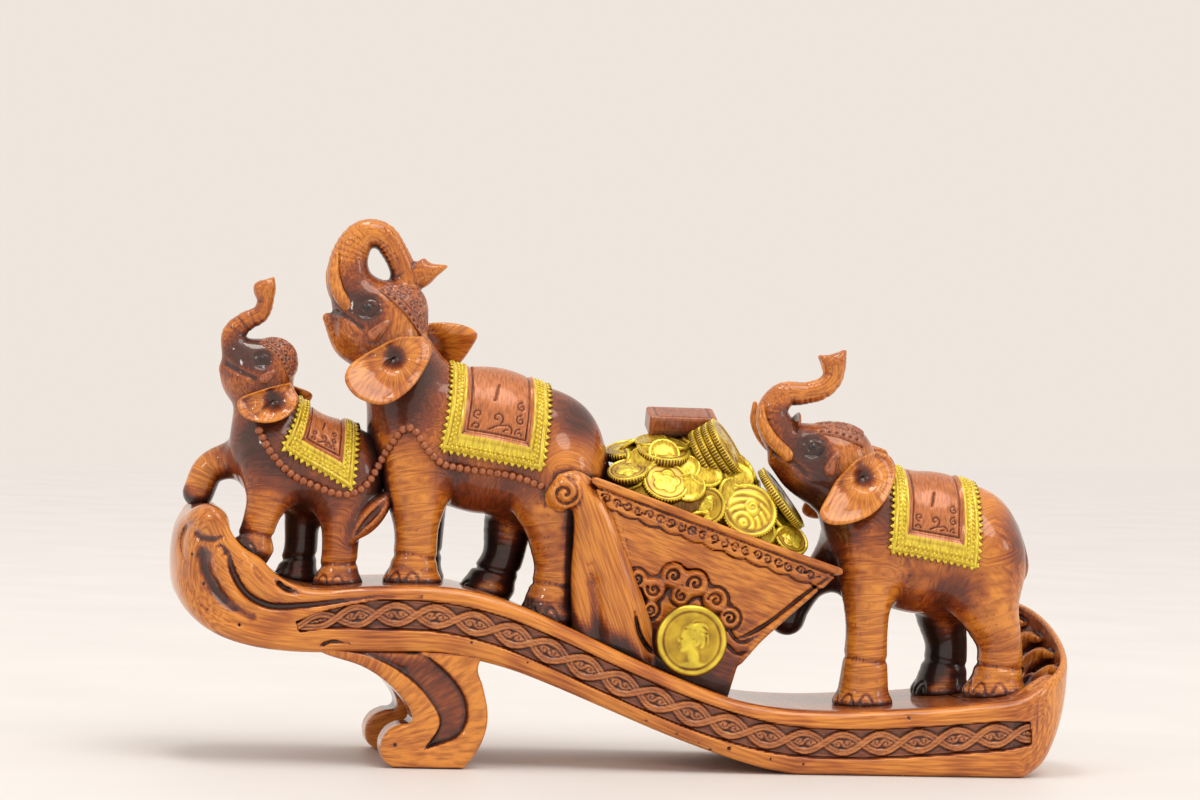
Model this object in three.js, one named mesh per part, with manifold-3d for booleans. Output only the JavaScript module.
// A carved figurine: three elephants draw a hopper of coins along an S-shaped scroll stand.
// Millimetres, +Z up. X runs along the stand with the lead elephant at -X, Y runs across it.
// The elephants face -X, so their left side is -Y. The origin is the middle of the bounding box's bottom.
import * as THREE from "three";
import { mergeVertices } from "three/addons/utils/BufferGeometryUtils.js";
import Module from "manifold-3d";

const wasm = await Module();
wasm.setup();

// ---------------------------------------------------------------- driving dimensions
const STAND_LENGTH = 330;
const STAND_WIDTH = 78;
const GAP = 0.3; // glue line between neighbouring pieces
const HALF_WIDTH = STAND_WIDTH / 2;
const HALF_LENGTH = STAND_LENGTH / 2;
const RECESS_DEPTH = 2.6; // the frieze band is sunk this far into each side of the stand
const FRIEZE_THICKNESS = 1.6;
const CLOTH_THICKNESS = 2;
const HEADDRESS_THICKNESS = 1.1;
const EAR_THICKNESS = 2.2;
const LIMB_SIDES = 7;
const BEAD_DIAMETER = 2.8;
const HOPPER_WALL = 3.2;

const LEFT = -1;
const RIGHT = 1;
const SIDES = { left: LEFT, right: RIGHT };

// ---------------------------------------------------------------- finishes
const finish = (color, roughness, metalness) => new THREE.MeshStandardMaterial({ color, roughness, metalness });
const FINISH = {
  wood: finish("#c47a35", 0.35, 0),
  darkWood: finish("#6b3418", 0.4, 0),
  gold: finish("#cdb73a", 0.35, 0.6),
};

// ---------------------------------------------------------------- solids
// A closed geometry as a manifold solid, keyed on its positions alone.
function solidOf(geometry) {
  const bare = new THREE.BufferGeometry();
  bare.setAttribute("position", geometry.getAttribute("position").clone());
  if (geometry.index) bare.setIndex(geometry.index.clone());
  const merged = mergeVertices(bare, 1e-4);
  return new wasm.Manifold(
    new wasm.Mesh({
      numProp: 3,
      vertProperties: merged.getAttribute("position").array,
      triVerts: new Uint32Array(merged.index.array),
    }),
  );
}

function geometryOf(solid) {
  const mesh = solid.getMesh();
  const geometry = new THREE.BufferGeometry();
  const positions = new Float32Array(mesh.numVert * 3);
  for (let i = 0; i < mesh.numVert; i++) {
    positions.set(mesh.vertProperties.subarray(i * mesh.numProp, i * mesh.numProp + 3), i * 3);
  }
  geometry.setAttribute("position", new THREE.BufferAttribute(positions, 3));
  geometry.setIndex(new THREE.BufferAttribute(mesh.triVerts, 1));
  return geometry;
}

const joined = (solids) => solids.reduce((a, b) => a.add(b));
const cutBy = (solid, cutters) => cutters.reduce((a, b) => a.subtract(b), solid);

// A cut can leave slivers behind; the piece is its largest body.
const largest = (solid) => solid.decompose().reduce((a, b) => (a.volume() > b.volume() ? a : b));

// An ellipsoid, pitched about Y by degrees (positive lowers its -X end).
function ball([x, y, z], [rx, ry, rz], pitch = 0, grow = 0) {
  const geometry = new THREE.SphereGeometry(1, 10, 7);
  geometry.scale(rx + grow, ry + grow, rz + grow);
  geometry.rotateY(THREE.MathUtils.degToRad(-pitch));
  geometry.translate(x, y, z);
  return solidOf(geometry);
}

// A tapering round limb through stations [x, y, z, radius], closed at both ends with a shallow dome.
function limb(stations, grow = 0, ringsPerSpan = 2, sides = LIMB_SIDES) {
  const curve = new THREE.CatmullRomCurve3(
    stations.map(([x, y, z]) => new THREE.Vector3(x, y, z)),
    false,
    "centripetal",
  );
  const rings = (stations.length - 1) * ringsPerSpan;
  const frames = curve.computeFrenetFrames(rings, false);
  const centres = [];
  const radii = [];
  for (let i = 0; i <= rings; i++) {
    const t = i / rings;
    const span = Math.min(stations.length - 2, Math.floor(t * (stations.length - 1)));
    const share = t * (stations.length - 1) - span;
    centres.push(curve.getPoint(t));
    radii.push(THREE.MathUtils.lerp(stations[span][3], stations[span + 1][3], share) + grow);
  }
  const tangents = centres.map((_, i) => curve.getTangent(i / rings));
  const positions = [];
  const faces = [];
  const normals = [];
  const binormals = [];
  let previous = frames.normals[0].clone();
  tangents.forEach((tangent) => {
    const normal = previous.clone().addScaledVector(tangent, -previous.dot(tangent)).normalize();
    normals.push(normal);
    binormals.push(new THREE.Vector3().crossVectors(tangent, normal));
    previous = normal;
  });
  for (let i = 0; i <= rings; i++) {
    for (let k = 0; k < sides; k++) {
      const angle = (k / sides) * Math.PI * 2;
      const p = centres[i]
        .clone()
        .addScaledVector(normals[i], Math.cos(angle) * radii[i])
        .addScaledVector(binormals[i], Math.sin(angle) * radii[i]);
      positions.push(p.x, p.y, p.z);
    }
  }
  const domeHeight = 0.45;
  const first = centres[0].clone().addScaledVector(tangents[0], -domeHeight * radii[0]);
  const last = centres[rings].clone().addScaledVector(tangents[rings], domeHeight * radii[rings]);
  positions.push(first.x, first.y, first.z, last.x, last.y, last.z);
  const firstTip = (rings + 1) * sides;
  const lastTip = firstTip + 1;
  for (let k = 0; k < sides; k++) {
    const next = (k + 1) % sides;
    for (let i = 0; i < rings; i++) {
      const [a, b, c, d] = [i * sides + k, i * sides + next, (i + 1) * sides + next, (i + 1) * sides + k];
      faces.push(a, b, c, a, c, d);
    }
    faces.push(firstTip, next, k);
    faces.push(lastTip, rings * sides + k, rings * sides + next);
  }
  const geometry = new THREE.BufferGeometry();
  geometry.setAttribute("position", new THREE.Float32BufferAttribute(positions, 3));
  geometry.setIndex(faces);
  return solidOf(geometry);
}

// An outline in X and Z, extruded across Y from y0 to y1.
function slab(shape, y0, y1, segments = 12) {
  const geometry = new THREE.ExtrudeGeometry(shape, { depth: y1 - y0, bevelEnabled: false, curveSegments: segments });
  geometry.rotateX(Math.PI / 2);
  geometry.translate(0, y1, 0);
  return solidOf(geometry);
}

const polygon = (points) => new THREE.Shape(points.map(([x, z]) => new THREE.Vector2(x, z)));

// A disc whose axis runs along normal.
function disc([x, y, z], radius, thickness, normal, sides = 16) {
  const geometry = new THREE.CylinderGeometry(radius, radius, thickness, sides);
  const axis = new THREE.Vector3(...normal).normalize();
  geometry.applyQuaternion(new THREE.Quaternion().setFromUnitVectors(new THREE.Vector3(0, 1, 0), axis));
  geometry.translate(x, y, z);
  return solidOf(geometry);
}

const mirrored = (stations) => stations.map(([x, y, z, r]) => [x, -y, z, r]);

// ---------------------------------------------------------------- the stand
// The top surface the elephants stand on, from the front wave back to the tail.
const TOP_LINE = [
  [138, 28.6], [130, 27.2], [110, 25], [90, 23.8], [70, 23], [50, 23.8], [35, 26.4], [20, 31.4], [0, 39.4],
  [-15, 46], [-30, 52.6], [-45, 58.6], [-60, 62.6], [-75, 64], [-95, 63.4], [-112, 62], [-122, 63.4],
];
// The front end rises as stepped waves into a round scroll, and rolls under to the belly of the stand.
const FRONT_SCROLL = [
  [-129, 67], [-134, 72], [-140, 75.5], [-144, 80], [-147, 86], [-151, 89.2], [-156, 88.8], [-161, 84.5],
  [-164.2, 77], [-HALF_LENGTH, 68], [-162.5, 58.5], [-156.5, 50.5], [-147, 44.6], [-135, 41.2], [-120, 39.8],
];
const UNDERSIDE = [
  [-100, 40], [-75, 40.4], [-60, 38.6], [-45, 35], [-30, 29.6], [-10, 21.6], [10, 13.6], [30, 6.6], [45, 2.2], [53, 0.7],
];
const SOLE = [[57, 0], [142, 0]];
// The back end turns up into a rim that curls over the rear elephant's heel.
const TAIL = [
  [151, 6], [159, 19], [164, 32], [HALF_LENGTH, 43], [163.4, 53], [158.6, 60], [152, 62],
  [148.6, 58], [149.6, 50], [149.8, 43], [148.4, 36.6], [144.6, 31.8],
];

function standOutline(offset = 0) {
  const shape = new THREE.Shape();
  const at = ([x, z]) => new THREE.Vector2(x, z);
  shape.moveTo(...SOLE[0]);
  shape.lineTo(...SOLE[1]);
  shape.splineThru(TAIL.slice(0, 7).map(at));
  shape.splineThru([...TAIL.slice(7), ...TOP_LINE, ...FRONT_SCROLL, ...UNDERSIDE].map(at));
  if (!offset) return shape;
  const points = shape.getPoints(2);
  const grown = points.map((p, i) => {
    const before = points[(i + points.length - 1) % points.length];
    const after = points[(i + 1) % points.length];
    const along = after.clone().sub(before).normalize();
    return new THREE.Vector2(p.x + along.y * offset, p.y - along.x * offset);
  });
  return new THREE.Shape(grown);
}

// Seen from above each end of the stand is a squarish half oval.
const END_REACH = { front: 25, back: 32 };
const END_SQUARENESS = 2.2;

function planOutline() {
  const points = [];
  const steps = 7;
  for (const [sign, reach] of [[1, END_REACH.back], [-1, END_REACH.front]]) {
    for (let i = -steps; i <= steps; i++) {
      const angle = (i / steps) * (Math.PI / 2) * sign;
      const across = Math.sign(Math.sin(angle)) * Math.abs(Math.sin(angle)) ** (2 / END_SQUARENESS);
      const along = Math.abs(Math.cos(angle)) ** (2 / END_SQUARENESS);
      points.push([sign * (HALF_LENGTH - reach + reach * along), HALF_WIDTH * across]);
    }
  }
  return polygon(points);
}

function planPrism() {
  const geometry = new THREE.ExtrudeGeometry(planOutline(), { depth: 130, bevelEnabled: false });
  geometry.translate(0, 0, -10);
  return solidOf(geometry);
}

// The frieze band follows the stand's S, tapering to a point at the front.
const BAND_CENTRE = [
  [-121, 48.6], [-110, 51.6], [-90, 53.6], [-70, 53], [-50, 48.8], [-30, 41.2], [-10, 32.6], [10, 24.4],
  [30, 17.6], [50, 12.9], [70, 11.4], [90, 11.8], [110, 13.2], [130, 15], [144, 16.2],
];
const BAND_HALF_HEIGHT = 5.2;

function bandOutline(inset) {
  const curve = new THREE.SplineCurve(BAND_CENTRE.map(([x, z]) => new THREE.Vector2(x, z)));
  const [upper, lower] = [[], []];
  const steps = 40;
  for (let i = 0; i <= steps; i++) {
    const t = i / steps;
    const p = curve.getPoint(t);
    const along = curve.getTangent(t);
    const taper = Math.min(1, 0.35 + t * 6, 0.75 + (1 - t) * 6);
    const half = BAND_HALF_HEIGHT * taper - inset;
    const end = i === 0 ? inset : i === steps ? -inset : 0;
    upper.push(new THREE.Vector2(p.x - along.y * half + end, p.y + along.x * half));
    lower.push(new THREE.Vector2(p.x + along.y * half + end, p.y - along.x * half));
  }
  return new THREE.Shape([...lower, ...upper.reverse()]);
}

const friezeFace = HALF_WIDTH - RECESS_DEPTH;
const recess = (side) => {
  const outline = bandOutline(0);
  return side === LEFT
    ? slab(outline, -HALF_WIDTH - 2, -friezeFace)
    : slab(outline, friezeFace, HALF_WIDTH + 2);
};
const frieze = (side) => {
  const near = friezeFace + GAP;
  const outline = bandOutline(GAP);
  const plate = side === LEFT
    ? slab(outline, -near - FRIEZE_THICKNESS, -near)
    : slab(outline, near, near + FRIEZE_THICKNESS);
  return plate.intersect(planPrism());
};

// The long edges of the stand are rounded over.
const EDGE_ROUNDING = { across: 5, down: 3.2 };

function roundedStand() {
  const { across, down } = EDGE_ROUNDING;
  const geometry = new THREE.ExtrudeGeometry(standOutline(), {
    depth: STAND_WIDTH - 2 * across,
    curveSegments: 2,
    bevelThickness: across,
    bevelSize: down,
    bevelOffset: -down,
    bevelSegments: 1,
  });
  geometry.rotateX(Math.PI / 2);
  geometry.translate(0, HALF_WIDTH - across, 0);
  return solidOf(geometry);
}

// The tail rim is a shell: high on the right side, it drops towards the left one.
const TAIL_RIM = { at: [HALF_LENGTH, 0, 47], slope: 0.42 };

function tailRimCut() {
  const tilt = Math.atan(TAIL_RIM.slope);
  const [width, depth, height] = [46, 140, 60];
  const geometry = new THREE.BoxGeometry(width, depth, height);
  geometry.translate(0, 0, height / 2);
  geometry.rotateX(tilt);
  geometry.translate(...TAIL_RIM.at);
  return solidOf(geometry);
}

const standBody = roundedStand().intersect(planPrism()).subtract(tailRimCut());
const standGrown = slab(standOutline(GAP), -HALF_WIDTH - GAP, HALF_WIDTH + GAP, 2);
const stand = cutBy(standBody, [recess(LEFT), recess(RIGHT)]);

// The leg is a C scroll the width of the stand, arched from side to side so that it stands on two feet.
function legOutline() {
  const shape = new THREE.Shape();
  shape.moveTo(-86, 0);
  shape.lineTo(-61, 0);
  shape.splineThru([[-56.5, 6], [-53.6, 13], [-53, 20], [-55, 29], [-58, 35], [-60, 42]].map(([x, z]) => new THREE.Vector2(x, z)));
  shape.lineTo(-118, 42);
  shape.splineThru(
    [[-110, 39], [-98, 35.4], [-89, 30], [-82.5, 23.6], [-79.6, 18.4], [-80.6, 15.8], [-84, 15.2], [-88, 13], [-90.4, 8.6], [-89.6, 3.4], [-86, 0]]
      .map(([x, z]) => new THREE.Vector2(x, z)),
  );
  return shape;
}

function legArch() {
  const [halfSpan, springing] = [22, 2];
  const shape = new THREE.Shape();
  shape.moveTo(-halfSpan, -5);
  shape.lineTo(halfSpan, -5);
  shape.lineTo(halfSpan, springing);
  shape.absarc(0, springing, halfSpan, 0, Math.PI, false);
  const geometry = new THREE.ExtrudeGeometry(shape, { depth: 120, bevelEnabled: false, curveSegments: 10 });
  geometry.rotateX(Math.PI / 2);
  geometry.rotateZ(Math.PI / 2);
  geometry.translate(-130, 0, 0);
  return solidOf(geometry);
}

const LEG_HALF_WIDTH = HALF_WIDTH - 1;
const scrollLeg = largest(
  cutBy(slab(legOutline(), -LEG_HALF_WIDTH, LEG_HALF_WIDTH, 3), [legArch(), standGrown]),
);

// ---------------------------------------------------------------- the elephants
// balls: [centre, radii, pitch]; every limb is a list of [x, y, z, radius]. y is given for the left limb.
const LEAD = {
  torso: [
    [[-130, 0, 108], [14, 13.5, 16], 0],
    [[-114, 0, 104], [22, 15.5, 17], -12],
    [[-101.5, 0, 101], [13.2, 13.5, 16], 0],
  ],
  head: [[[-135, 0, 138], [11.6, 9.6, 9.8], 0]],
  neck: [[-127, 0, 114, 13], [-131, 0, 123, 12], [-134, 0, 133, 10.4]],
  jaw: [[-135, 0, 131, 8.6], [-142, 0, 132, 5.4], [-147, 0, 136.6, 2]],
  trunk: [
    [-137, 0, 139, 7.4], [-142.6, 0, 144, 5], [-144.2, 0, 150, 4], [-140, 0, 154.6, 3.4],
    [-134.6, 0, 157, 3.2], [-133, 0, 162, 3.1], [-133.6, 0, 168, 3.5],
  ],
  legs: [
    [[-129.6, -8, 108, 9], [-130.8, -10, 94, 7.2], [-133.8, -11, 82, 6.2], [-136.4, -11, 73, 7]],
    [[-134, 8, 108, 7.4], [-144.6, 9, 104.6, 5.4], [-150.4, 9.4, 98.6, 5], [-154.4, 9, 91.6, 5]],
    [[-102, -7, 100, 9.6], [-104, -9.4, 86, 7.4], [-104.6, -10, 73, 6.6], [-105, -10, 63, 7.6]],
    [[-108, 7, 98, 9.4], [-112.6, 9.4, 86, 7.2], [-113, 10, 74, 6.4], [-115.4, 10, 63, 7.6]],
  ],
  tail: [[-91, 0, 104, 2.4], [-88.6, -5, 96, 1.8], [-91, -11, 90, 1.6], [-98, -14, 83, 2.6], [-101, -14.4, 78, 1]],
  ears: {
    left: [[-124, 133.4], [-133, 131], [-142.4, 126.6], [-140.4, 120.6], [-132.4, 118.8], [-125, 121.6], [-121.4, 127.4]],
    right: [[-122, 132.6], [-131, 132], [-138, 127], [-137, 120.6], [-128, 118.8], [-120, 122], [-114.4, 129]],
  },
  earRoot: { y: 8.6, z: 132, flare: 0.62 },
  cloth: [[-120.5, 128], [-127.4, 108], [-103, 95.6], [-95, 117], [-104, 130]],
  headdress: [[-140, 152], [-133, 140], [-124, 131], [-118, 140], [-128, 152]],
};

const MIDDLE = {
  torso: [
    [[-78, 0, 113], [17, 16.5, 22], 0],
    [[-52, 0, 115.5], [30, 20, 25], -6],
    [[-28.5, 0, 108], [20, 18, 25], 0],
  ],
  head: [
    [[-92, 0, 157.4], [15.4, 12.6, 13.6], 0],
    [[-84, 0, 161], [8, 9, 9], 0],
  ],
  neck: [[-75, 0, 124, 17], [-82, 0, 136, 15.4], [-89, 0, 149, 13.4]],
  jaw: [[-95, 0, 148, 10], [-103, 0, 149, 6.6], [-110.6, 0, 156, 2.2]],
  trunk: [
    [-98, 0, 161, 10], [-103.4, 0, 170, 7.6], [-104, 0, 179, 6.4], [-99.6, 0, 187, 5.4], [-91.6, 0, 187, 5],
    [-86.4, 0, 179.6, 4.5], [-82.6, 0, 173.6, 4.2], [-76.6, 0, 174.4, 3.8], [-69.4, 0, 177, 2.6],
  ],
  legs: [
    [[-78.6, -9, 112, 11.6], [-78.4, -12, 94, 9.4], [-77.8, -12.4, 78, 7.8], [-78.8, -12.4, 63, 9.4]],
    [[-76, 9, 112, 11.4], [-73.4, 12, 94, 9], [-72.8, 12.4, 78, 7.6], [-75, 12.4, 62, 9.2]],
    [[-27, -8, 104, 14], [-28, -11, 84, 10], [-26.6, -11.6, 69, 8.4], [-29, -11.6, 54, 10.2]],
    [[-36, 8, 102, 13], [-41.4, 11, 85, 9.2], [-43.4, 11.6, 72, 7.8], [-49.2, 11.6, 60, 9.2]],
  ],
  tail: [[-12, 0, 112, 3], [-8.4, 0, 104, 2.4], [-7, 0, 98, 2.8], [-5.6, 0, 95, 1.4]],
  tusk: [[-101, -7, 160, 2.6], [-107, -7.2, 165.4, 2.4], [-109.6, -6.8, 172.4, 2], [-108.8, -6, 180.6, 1.2]],
  ears: {
    left: [
      [-78, 151.4], [-87, 150.6], [-95, 146.4], [-103.6, 140.4], [-105.6, 134.4], [-101, 128.6], [-91.6, 126.8], [-82.4, 132.6],
      [-76.4, 141.4], [-74.6, 147.6],
    ],
    right: [
      [-80, 154], [-88, 147], [-88.6, 138], [-81, 131.4], [-71, 133.4], [-62, 141], [-57, 148.4], [-55.6, 153.6], [-62, 156.6], [-72, 156.8],
    ],
  },
  earRoot: { y: 11.4, z: 149, flare: 0.6 },
  cloth: [[-64, 150], [-71.6, 112], [-34, 104.6], [-28.4, 148]],
  headdress: [[-98, 176], [-89, 160], [-78, 149], [-70, 158], [-82, 176]],
};

const REAR = {
  torso: [
    [[93, 0, 84], [17, 16.5, 22], 0],
    [[112, 0, 82.6], [27, 20, 25], -3],
    [[130.6, 0, 78], [17.6, 18, 24], 0],
  ],
  head: [
    [[74, 0, 112], [16, 12.6, 13.4], 0],
    [[81, 0, 113], [8.6, 9, 10], 0],
  ],
  neck: [[92, 0, 91, 17], [86, 0, 97, 15.4], [79, 0, 106, 13]],
  jaw: [[72, 0, 103, 9.6], [63, 0, 106, 6.4], [53.6, 0, 109.6, 2.8]],
  trunk: [
    [66, 0, 113, 10], [57, 0, 120, 7.4], [53, 0, 128, 6], [56.4, 0, 134.8, 4.8], [64, 0, 135.4, 4.2],
    [71.4, 0, 137.4, 4], [76, 0, 142, 3.8], [76.6, 0, 148, 4.8],
  ],
  legs: [
    [[89, -9, 84, 12], [87.6, -12, 66, 9.6], [87.8, -12.4, 48, 7.8], [87, -12.4, 24, 9.8]],
    [[86, 9, 82, 11], [78, 12, 71, 7.8], [71, 12.4, 65.6, 6.6], [63, 12.4, 57, 5.4], [58.4, 12.4, 51.4, 5.6]],
    [[131, -8, 78, 15], [133, -11, 61, 11.6], [138, -12, 45, 8.4], [136.6, -12, 27, 10.6]],
    [[122, 8, 74, 13.4], [121.4, 11, 58, 10], [124.2, 12, 43, 8], [122.4, 12, 27, 10]],
  ],
  tail: [[143.6, 0, 88, 3], [147.8, 0, 80, 2.4], [148.4, 0, 73, 2.8], [146.6, 0, 66.6, 1.4]],
  tusk: [[58, -7, 114, 2.6], [52.4, -7.4, 120, 2.4], [49.6, -6.8, 126, 2], [49.8, -5.8, 132, 1.2]],
  ears: {
    left: [
      [90, 115.6], [81, 112.4], [75.4, 106.6], [70.4, 99.4], [66.6, 92.6], [69.6, 89], [77, 89.2], [85.6, 92.6], [92.4, 99.6],
      [96, 107.6], [95, 113.4],
    ],
    right: [
      [93, 117.4], [84, 114], [78.4, 108], [73.4, 100], [70, 93], [73, 89.6], [80, 89.6], [88.6, 93], [95.4, 100], [99.6, 108], [99, 115],
    ],
  },
  earRoot: { y: 11.6, z: 112, flare: 0.5 },
  cloth: [[95, 115], [92.6, 79], [104, 75.4], [126, 73.6], [131.4, 105]],
  headdress: [[58, 128], [66, 119], [84, 112], [92, 118], [80, 130]],
};

const torsoSolid = (spec, grow = 0) => joined(spec.torso.map(([at, radii, pitch]) => ball(at, radii, pitch, grow)));
const headSolid = (spec, grow = 0) => joined(spec.head.map(([at, radii, pitch]) => ball(at, radii, pitch, grow)));

// Torso, neck, head, trunk, jaw, legs and tail are carved from one block.
function elephantSolid(spec, grow = 0) {
  return joined([
    torsoSolid(spec, grow),
    headSolid(spec, grow),
    limb(spec.trunk, grow),
    ...[spec.neck, spec.jaw, spec.tail, ...spec.legs].map((stations) => limb(stations, grow, 1)),
  ]);
}

// The saddle cloth is the torso's skin, thickened, inside an outline seen from the side.
const clothSolid = (spec, body) =>
  largest(
    torsoSolid(spec, GAP + CLOTH_THICKNESS)
      .intersect(slab(polygon(spec.cloth), -40, 40))
      .subtract(body),
  );

const headdressSolid = (spec, body) =>
  largest(
    cutBy(headSolid(spec, GAP + HEADDRESS_THICKNESS).intersect(slab(polygon(spec.headdress), -40, 40)), [
      body,
      ...Object.keys(SIDES).map((word) => earSolid(spec, word, GAP)),
    ]),
  );

// An ear is a thin leaf. It leaves the head at its root and flares out as it hangs below the root.
function earSolid(spec, word, grow = 0) {
  const half = EAR_THICKNESS / 2 + grow;
  const { y: rootY, z: rootZ, flare } = spec.earRoot;
  const outline = spec.ears[word].map(([x, z]) => new THREE.Vector2(x, z));
  const shape = new THREE.Shape();
  shape.moveTo(outline[0].x, outline[0].y);
  shape.splineThru([...outline.slice(1), outline[0]]);
  const geometry = new THREE.ExtrudeGeometry(shape, { depth: 2 * half, bevelEnabled: false, curveSegments: 2 });
  geometry.rotateX(Math.PI / 2);
  const position = geometry.getAttribute("position");
  for (let i = 0; i < position.count; i++) {
    const hang = Math.max(-4, rootZ - position.getZ(i));
    position.setY(i, position.getY(i) + half - rootY - flare * hang);
  }
  const leaf = solidOf(geometry);
  return SIDES[word] === LEFT ? leaf : leaf.mirror([0, 1, 0]);
}

const HERD = { lead: LEAD, middle: MIDDLE, rear: REAR };
const grownBody = {};
const bodySolid = {};
for (const [name, spec] of Object.entries(HERD)) {
  grownBody[name] = elephantSolid(spec, GAP);
  bodySolid[name] = elephantSolid(spec);
}
bodySolid.lead = bodySolid.lead.subtract(grownBody.middle);

// ---------------------------------------------------------------- the hopper and its fittings
// The hopper's side is a leaning trough: its rim slopes down towards the rear elephant.
const HOPPER_SIDE = [[-16, 102], [74, 72], [59.4, 58.6], [46, 45.6], [38.6, 37], [35, 24], [4, 30], [-4, 66], [-11, 86]];
const HOPPER_HOLLOW = [[-11, 104], [68, 78], [56, 62], [42, 52], [8, 56], [-2, 78]];
const HOPPER_FOOT = { halfWidth: 21, z: 30 };
const HOPPER_LEAN = 0.1; // each side wall steps out this much for every millimetre it rises

// The side walls lean in towards the foot.
function hopperBlock(outline, inset) {
  const geometry = new THREE.ExtrudeGeometry(polygon(outline), { depth: 2, bevelEnabled: false });
  geometry.translate(0, 0, -1);
  geometry.rotateX(Math.PI / 2);
  const position = geometry.getAttribute("position");
  for (let i = 0; i < position.count; i++) {
    const half = HOPPER_FOOT.halfWidth + HOPPER_LEAN * (position.getZ(i) - HOPPER_FOOT.z) - inset;
    position.setY(i, position.getY(i) * half);
  }
  return solidOf(geometry);
}

// A harness leaf sweeps from a volute on the middle elephant's hip down to the foot of the hopper.
function leafOutline() {
  const shape = new THREE.Shape();
  shape.moveTo(-33.4, 97);
  shape.splineThru(
    [[-32.6, 93], [-28, 90.6], [-23, 92], [-20.6, 84], [-19.6, 70], [-19, 56], [-17.6, 42]].map(([x, z]) => new THREE.Vector2(x, z)),
  );
  shape.lineTo(9, 32);
  shape.splineThru(
    [[8, 46], [3.4, 60], [-3, 76], [-8.6, 91], [-14.6, 100.6], [-22, 105.4], [-29, 104], [-33.4, 97]].map(([x, z]) => new THREE.Vector2(x, z)),
  );
  return shape;
}

const LEAF_Y = [19.5, 29];
const MEDALLION = { at: [19.4, -32, 46.6], radius: 12.7, thickness: 3.6 };

const hopperGrown = hopperBlock(HOPPER_SIDE, -GAP);
const hopperHollow = hopperBlock(HOPPER_HOLLOW, HOPPER_WALL);
const hopperSolid = largest(
  cutBy(hopperBlock(HOPPER_SIDE, 0), [hopperHollow, standGrown, grownBody.middle, grownBody.rear]),
);

const medallionAt = (side) => [MEDALLION.at[0], MEDALLION.at[1] * -side, MEDALLION.at[2]];
const medallionSolid = (side, grow = 0) =>
  disc(medallionAt(side), MEDALLION.radius + grow, MEDALLION.thickness + 2 * grow, [0, 1, 0], 32);

function leafSolid(side) {
  const [inner, outer] = LEAF_Y;
  const block = side === LEFT ? slab(leafOutline(), -outer, -inner, 3) : slab(leafOutline(), inner, outer, 3);
  return largest(cutBy(block, [grownBody.middle, hopperGrown, standGrown, medallionSolid(side, GAP)]));
}

// ---------------------------------------------------------------- the treasure
// [name, centre, radius, thickness, axis]
const COINS = [
  ["blossom_coin", [11, -17, 102], 8.7, 2.6, [0.05, -0.8, 0.6]],
  ["portrait_coin", [25.2, -20, 94], 7.4, 2.4, [-0.2, -0.95, 0.25]],
  ["spiral_coin", [41.4, -18, 92.6], 10.6, 2.8, [0.12, -0.9, 0.42]],
  ["rim_coin", [58, -14, 82.6], 7, 2.4, [0.35, -0.72, 0.6]],
  ["left_corner_coin", [-2, -13, 105.4], 7.6, 2.6, [-0.2, -0.45, 0.87]],
  ["lying_coin", [12, -6, 113], 10, 3, [0.02, -0.42, 0.91]],
  ["leaning_coin", [56, -5, 97], 13, 3, [0.76, -0.24, 0.6]],
  ["high_coin", [0, 3, 112.6], 8.6, 3.4, [-0.24, -0.26, 0.93]],
  ["nested_coin", [28, -9, 103], 5.4, 2.4, [-0.3, -0.6, 0.74]],
  ["far_blossom_coin", [10, 17, 102], 8.7, 2.6, [0.05, 0.8, 0.6]],
  ["far_portrait_coin", [26, 19, 94], 7.4, 2.4, [-0.2, 0.95, 0.25]],
  ["far_spiral_coin", [41, 18, 92.6], 10.6, 2.8, [0.12, 0.9, 0.42]],
  ["far_rim_coin", [57, 14, 83], 7, 2.4, [0.35, 0.72, 0.6]],
];
const STACK = { base: [28.6, -3, 110.6], axis: [0.78, -0.33, 0.53], radius: 11.6, thickness: 2.5, count: 4 };
const INGOT = { at: [20, 6, 123.6], size: [25, 12, 8], tilt: 20 };

function stackCoin(index) {
  const axis = new THREE.Vector3(...STACK.axis).normalize();
  const at = new THREE.Vector3(...STACK.base).addScaledVector(axis, index * (STACK.thickness + GAP));
  return [`stack_coin_${index + 1}`, at.toArray(), STACK.radius, STACK.thickness, STACK.axis];
}

function ingotSolid(grow = 0) {
  const [length, width, height] = INGOT.size.map((d) => d + 2 * grow);
  const geometry = new THREE.BoxGeometry(length, width, height);
  geometry.rotateX(THREE.MathUtils.degToRad(INGOT.tilt));
  geometry.translate(...INGOT.at);
  return solidOf(geometry);
}

// Later coins give way to the ones laid before them.
function treasure() {
  const stack = Array.from({ length: STACK.count }, (_, i) => stackCoin(i));
  const pieces = [];
  const taken = [grownBody.rear, grownBody.middle];
  for (const [name, at, radius, thickness, axis] of [...stack, ...COINS]) {
    pieces.push([name, largest(cutBy(disc(at, radius, thickness, axis), taken)), FINISH.gold]);
    taken.push(disc(at, radius + GAP, thickness + 2 * GAP, axis));
  }
  pieces.push(["ingot", largest(cutBy(ingotSolid(), taken)), FINISH.darkWood]);
  taken.push(ingotSolid(GAP));
  const mound = joined([
    ball([20, 0, 92], [27, 21, 19], 18),
    ball([10, 0, 103], [14, 14, 14]),
    ball([33, 0, 98], [14, 14, 14]),
    hopperBlock([[-7, 92], [60, 74], [54, 63], [41, 53.6], [9.4, 57.6], [0, 78]], HOPPER_WALL + GAP),
  ]);
  const hopperShell = hopperGrown.subtract(hopperBlock(HOPPER_HOLLOW, HOPPER_WALL + GAP));
  pieces.push(["coin_heap", largest(cutBy(mound, [...taken, hopperShell])), FINISH.gold]);
  return pieces;
}

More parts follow.
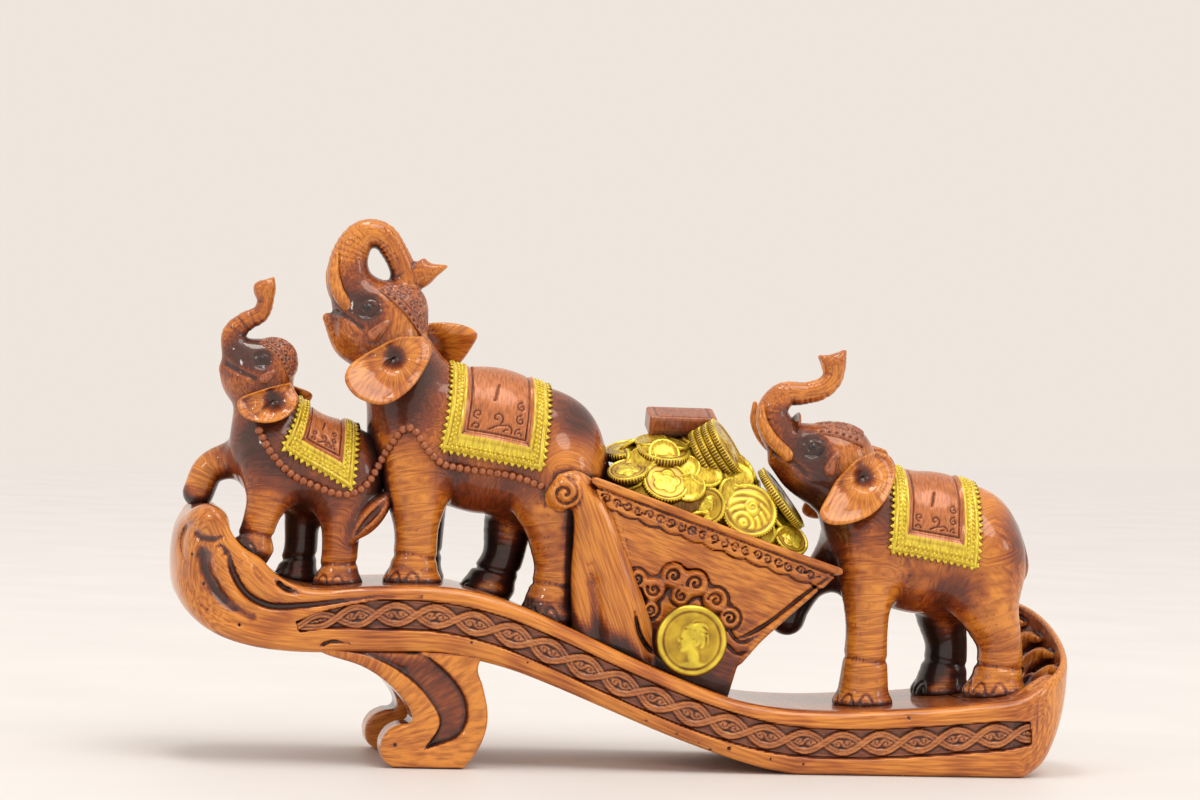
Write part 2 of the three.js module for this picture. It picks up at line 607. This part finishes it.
// ---------------------------------------------------------------- the bead garland
// It runs from the lead elephant's neck, under the cloths, to the volute on the middle elephant's hip.
const GARLAND = [
  [-135, 116], [-130, 107.6], [-123, 101], [-115, 97.2], [-107, 94.6], [-101, 95], [-96, 98.6], [-92.6, 104],
  [-89, 111], [-84.6, 118], [-80.6, 118], [-76, 111.6], [-70, 106.4], [-61, 104.6], [-51, 103.6], [-42, 102], [-34.6, 99.4],
];

// The garland lies on whatever is outermost at each point, sunk by a third of a bead.
function garlandSolid(side, hosts) {
  const meshes = hosts.map((host) => new THREE.Mesh(geometryOf(host), new THREE.MeshBasicMaterial({ side: THREE.DoubleSide })));
  const stations = GARLAND.map(([x, z]) => {
    const ray = new THREE.Raycaster(new THREE.Vector3(x, side * 60, z), new THREE.Vector3(0, -side, 0));
    const hit = ray.intersectObjects(meshes)[0];
    const y = hit ? hit.point.y : side * 14;
    return [x, y + side * 0.3 * BEAD_DIAMETER, z, BEAD_DIAMETER / 2];
  });
  return limb(stations, 0, 1, 5);
}

// ---------------------------------------------------------------- assembly
const figurine = new THREE.Group();

function add(name, solid, material) {
  const mesh = new THREE.Mesh(geometryOf(solid), material);
  mesh.name = name;
  figurine.add(mesh);
}

add("stand_plinth", stand, FINISH.wood);
add("scroll_leg", scrollLeg, FINISH.wood);

const cloths = {};
const ears = {};
for (const [name, spec] of Object.entries(HERD)) {
  cloths[name] = clothSolid(spec, grownBody[name]);
  for (const word of Object.keys(SIDES)) {
    ears[`${name}_${word}_ear`] = earSolid(spec, word).subtract(grownBody[name]);
  }
}

for (const [word, side] of Object.entries(SIDES)) {
  add(`${word}_frieze`, frieze(side), FINISH.darkWood);
  const hosts = [bodySolid.lead, bodySolid.middle];
  const garland = cutBy(garlandSolid(side, hosts), [
    grownBody.lead,
    grownBody.middle,
    ...["lead", "middle"].map((name) =>
      torsoSolid(HERD[name], 2 * GAP + CLOTH_THICKNESS).intersect(slab(polygon(HERD[name].cloth), -40, 40)),
    ),
  ]);
  add(`${word}_bead_garland`, largest(garland), FINISH.wood);
  add(`${word}_harness_leaf`, cutBy(leafSolid(side), [limb(GARLAND.slice(-2).map(([x, z]) => [x, side * 22, z, 4]))]), FINISH.wood);
  add(`${word}_medallion`, medallionSolid(side), FINISH.gold);
}

for (const [name, spec] of Object.entries(HERD)) {
  add(`${name}_elephant`, largest(bodySolid[name].subtract(standGrown)), FINISH.wood);
  add(`${name}_saddle_cloth`, cloths[name], FINISH.gold);
  add(`${name}_headdress`, headdressSolid(spec, grownBody[name]), FINISH.darkWood);
  for (const [word, side] of Object.entries(SIDES)) {
    add(`${name}_${word}_ear`, largest(ears[`${name}_${word}_ear`]), FINISH.wood);
    if (spec.tusk) {
      const stations = side === LEFT ? spec.tusk : mirrored(spec.tusk);
      add(`${name}_${word}_tusk`, largest(limb(stations, 0, 2, 8).subtract(grownBody[name])), FINISH.wood);
    }
  }
}

add("hopper", hopperSolid, FINISH.wood);
for (const [name, solid, material] of treasure()) add(name, solid, material);

export default figurine;
